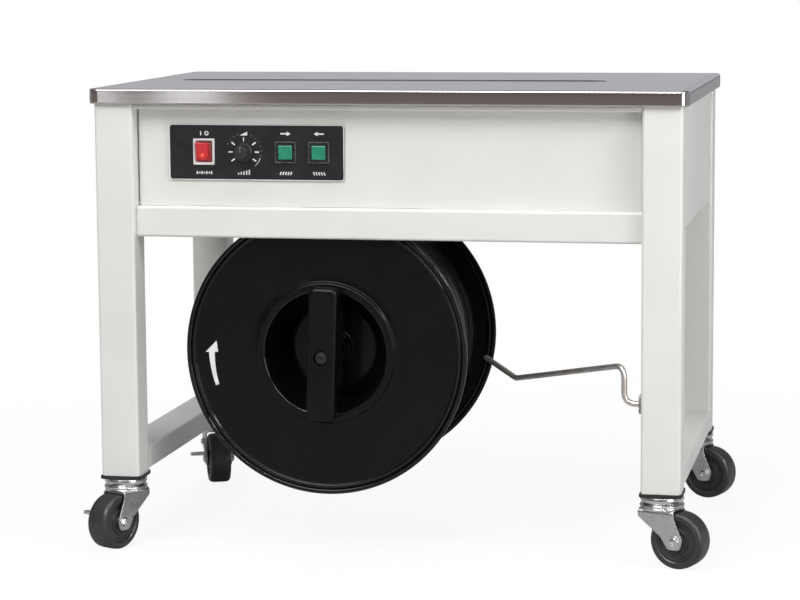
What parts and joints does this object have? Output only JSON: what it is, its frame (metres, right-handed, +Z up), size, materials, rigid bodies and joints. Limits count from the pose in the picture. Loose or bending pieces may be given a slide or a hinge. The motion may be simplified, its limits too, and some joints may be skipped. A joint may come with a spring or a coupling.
{
  "type": "semi automatic strapping machine",
  "caption": "Table-height strapping machine: steel stand on swivel casters, stainless top with a strap slot, front controls, strap reel below and a heat-seal head inside.",
  "frame": {"origin": "on the floor, at the middle of the footprint with the casters as they stand", "axes": "+X to the operator's right along the table, +Y away from the operator towards the back, +Z up"},
  "size_m": [0.9719, 0.6218, 0.71],
  "materials": {
    "frame_paint": "smooth warm off-white powder coat, satin",
    "stainless_sheet": "brushed stainless sheet with a fine grain along the table",
    "zinc_plate": "bright zinc-plated pressed steel",
    "machined_steel": "plain machined steel",
    "stainless_wire": "polished round wire",
    "reel_plastic": "black moulded plastic with a satin surface",
    "strap_plastic": "black strap wound in flat layers",
    "wheel_rubber": "dark grey hard rubber",
    "cap_plastic": "black plastic",
    "control_face": "near-black printed plate",
    "bezel_white": "white moulded plastic",
    "bezel_black": "black moulded plastic",
    "rocker_red": "clear red plastic with a lamp behind it",
    "button_green": "green moulded plastic",
    "cast_housing": "grey enamelled casting",
    "drive_rubber": "black rubber belt",
    "circuit_board": "green laminate",
    "transformer_core": "varnished laminations and winding"
  },
  "bodies": {
    "frame": {"leg_front_left": "frame_paint", "leg_front_right": "frame_paint", "leg_back_left": "frame_paint", "leg_back_right": "frame_paint", "rail_left": "frame_paint", "rail_right": "frame_paint", "front_panel": "frame_paint", "front_band": "frame_paint", "back_panel": "frame_paint", "side_panel_left": "frame_paint", "side_panel_right": "frame_paint", "base_deck": "frame_paint", "power_inlet": "bezel_black", "table_hinge": "zinc_plate", "control_plate": "control_face", "switch_bezel": "bezel_white", "feed_bezel": "bezel_black", "reset_bezel": "bezel_black", "reel_bracket": "machined_steel", "caster_mount_front_left": "cap_plastic", "caster_mount_front_right": "cap_plastic", "caster_mount_back_left": "cap_plastic", "caster_mount_back_right": "cap_plastic", "head_frame": "cast_housing", "gear_reducer": "cast_housing", "drive_motor": "cast_housing", "drive_belt": "drive_rubber", "strap_channel": "stainless_sheet", "power_transformer": "transformer_core", "control_board": "circuit_board"},
    "reel": {"reel_drum": "reel_plastic", "strap_coil": "strap_plastic", "front_flange": "reel_plastic"},
    "lid": {"table_top": "stainless_sheet"},
    "power_rocker": {"power_rocker": "rocker_red"},
    "feed_length_dial": {"feed_length_dial": "cap_plastic"},
    "feed_button": {"feed_button": "button_green"},
    "reset_button": {"reset_button": "button_green"},
    "lock_bar": {"lock_bar": "reel_plastic"},
    "brake_arm": {"brake_arm": "stainless_wire"},
    "left_gripper": {"left_gripper": "machined_steel"},
    "right_gripper": {"right_gripper": "machined_steel"},
    "press_platen": {"press_platen": "machined_steel"},
    "heater_blade": {"heater_blade": "machined_steel"},
    "anvil_slide": {"anvil_slide": "machined_steel"},
    "cam_shaft": {"cam_shaft": "machined_steel"},
    "reducer_pulley": {"reducer_pulley": "machined_steel"},
    "motor_pulley": {"motor_pulley": "machined_steel"},
    "feed_roller": {"feed_roller": "machined_steel"},
    "pinch_roller": {"pinch_roller": "machined_steel"},
    "fork_front_left": {"caster_fork_front_left": "zinc_plate"},
    "wheel_front_left": {"caster_wheel_front_left": "wheel_rubber"},
    "fork_front_right": {"caster_fork_front_right": "zinc_plate"},
    "wheel_front_right": {"caster_wheel_front_right": "wheel_rubber"},
    "fork_back_left": {"caster_fork_back_left": "zinc_plate"},
    "wheel_back_left": {"caster_wheel_back_left": "wheel_rubber"},
    "fork_back_right": {"caster_fork_back_right": "zinc_plate"},
    "wheel_back_right": {"caster_wheel_back_right": "wheel_rubber"},
    "brake_front_left": {"caster_brake_front_left": "zinc_plate"},
    "brake_back_left": {"caster_brake_back_left": "zinc_plate"}
  },
  "joints": [
    {"name": "lid_hinge", "type": "hinge", "parent": "frame", "child": "lid", "pos_m": [-0.0036, 0.3069, 0.6825], "axis": [-1, 0, 0], "range_deg": [0, 75]},
    {"name": "power_rocker_tilt", "type": "hinge", "parent": "frame", "child": "power_rocker", "pos_m": [-0.2846, -0.2436, 0.614], "axis": [-1, 0, 0], "range_deg": [0, 16]},
    {"name": "feed_length_turn", "type": "hinge", "parent": "frame", "child": "feed_length_dial", "pos_m": [-0.2226, -0.2436, 0.614], "axis": [0, -1, 0], "range_deg": [-135, 135]},
    {"name": "feed_button_press", "type": "slide", "parent": "frame", "child": "feed_button", "axis": [0, 1, 0], "range_m": [0, 0.003], "stiffness_N_per_m": 300},
    {"name": "reset_button_press", "type": "slide", "parent": "frame", "child": "reset_button", "axis": [0, 1, 0], "range_m": [0, 0.003], "stiffness_N_per_m": 300},
    {"name": "reel_spin", "type": "hinge", "parent": "frame", "child": "reel", "pos_m": [-0.1016, 0.0184, 0.308], "axis": [0, 1, 0], "continuous": true},
    {"name": "lock_bar_turn", "type": "hinge", "parent": "reel", "child": "lock_bar", "pos_m": [-0.1016, -0.2316, 0.308], "axis": [0, -1, 0], "range_deg": [0, 90]},
    {"name": "brake_arm_swing", "type": "hinge", "parent": "frame", "child": "brake_arm", "pos_m": [0.3789, -0.2516, 0.246], "axis": [1, 0, 0], "range_deg": [0, 25]},
    {"name": "swivel_front_left", "type": "hinge", "parent": "frame", "child": "fork_front_left", "pos_m": [-0.4206, -0.2396, 0.1], "axis": [0, 0, 1], "continuous": true},
    {"name": "wheel_spin_front_left", "type": "hinge", "parent": "fork_front_left", "child": "wheel_front_left", "pos_m": [-0.4329, -0.26696, 0.0425], "axis": [0.9121, -0.4099, 0], "continuous": true},
    {"name": "brake_lift_front_left", "type": "hinge", "parent": "fork_front_left", "child": "brake_front_left", "pos_m": [-0.44404, -0.23564, 0.068], "axis": [-0.9121, 0.4099, 0], "range_deg": [0, 18]},
    {"name": "swivel_front_right", "type": "hinge", "parent": "frame", "child": "fork_front_right", "pos_m": [0.4134, -0.2396, 0.1], "axis": [0, 0, 1], "continuous": true},
    {"name": "wheel_spin_front_right", "type": "hinge", "parent": "fork_front_right", "child": "wheel_front_right", "pos_m": [0.44173, -0.24947, 0.0425], "axis": [0.3289, 0.9444, 0], "continuous": true},
    {"name": "swivel_back_left", "type": "hinge", "parent": "frame", "child": "fork_back_left", "pos_m": [-0.4206, 0.2764, 0.1], "axis": [0, 0, 1], "continuous": true},
    {"name": "wheel_spin_back_left", "type": "hinge", "parent": "fork_back_left", "child": "wheel_back_left", "pos_m": [-0.40936, 0.24858, 0.0425], "axis": [0.9272, 0.3746, 0], "continuous": true},
    {"name": "brake_lift_back_left", "type": "hinge", "parent": "fork_back_left", "child": "brake_back_left", "pos_m": [-0.43968, 0.26222, 0.068], "axis": [-0.9272, -0.3746, 0], "range_deg": [0, 18]},
    {"name": "swivel_back_right", "type": "hinge", "parent": "frame", "child": "fork_back_right", "pos_m": [0.4134, 0.2764, 0.1], "axis": [0, 0, 1], "continuous": true},
    {"name": "wheel_spin_back_right", "type": "hinge", "parent": "fork_back_right", "child": "wheel_back_right", "pos_m": [0.44173, 0.26653, 0.0425], "axis": [0.3289, 0.9444, 0], "continuous": true},
    {"name": "reducer_pulley_spin", "type": "hinge", "parent": "frame", "child": "reducer_pulley", "pos_m": [0.1114, 0.0864, 0.597], "axis": [0, 1, 0], "continuous": true},
    {"name": "motor_pulley_spin", "type": "hinge", "parent": "frame", "child": "motor_pulley", "pos_m": [0.2664, 0.0864, 0.597], "axis": [0, 1, 0], "continuous": true},
    {"name": "cam_shaft_spin", "type": "hinge", "parent": "frame", "child": "cam_shaft", "pos_m": [-0.0486, 0.0184, 0.578], "axis": [1, 0, 0], "continuous": true},
    {"name": "feed_roller_spin", "type": "hinge", "parent": "frame", "child": "feed_roller", "pos_m": [-0.1786, 0.0184, 0.593], "axis": [0, 1, 0], "continuous": true},
    {"name": "pinch_roller_spin", "type": "hinge", "parent": "frame", "child": "pinch_roller", "pos_m": [-0.1786, 0.0184, 0.6332], "axis": [0, 1, 0], "continuous": true},
    {"name": "left_gripper_lift", "type": "slide", "parent": "frame", "child": "left_gripper", "axis": [0, 0, 1], "range_m": [0, 0.006]},
    {"name": "right_gripper_lift", "type": "slide", "parent": "frame", "child": "right_gripper", "axis": [0, 0, 1], "range_m": [0, 0.006]},
    {"name": "press_platen_lift", "type": "slide", "parent": "frame", "child": "press_platen", "axis": [0, 0, 1], "range_m": [0, 0.006]},
    {"name": "heater_blade_reach", "type": "slide", "parent": "frame", "child": "heater_blade", "axis": [0, -1, 0], "range_m": [0, 0.02]},
    {"name": "anvil_slide_retract", "type": "slide", "parent": "frame", "child": "anvil_slide", "axis": [0, 1, 0], "range_m": [0, 0.022]}
  ],
  "couplings": [
    {"joint": "motor_pulley_spin", "follows": "reducer_pulley_spin", "ratio": 1.75},
    {"joint": "cam_shaft_spin", "follows": "reducer_pulley_spin", "ratio": 0.05},
    {"joint": "pinch_roller_spin", "follows": "feed_roller_spin", "ratio": -1.2941}
  ]
}
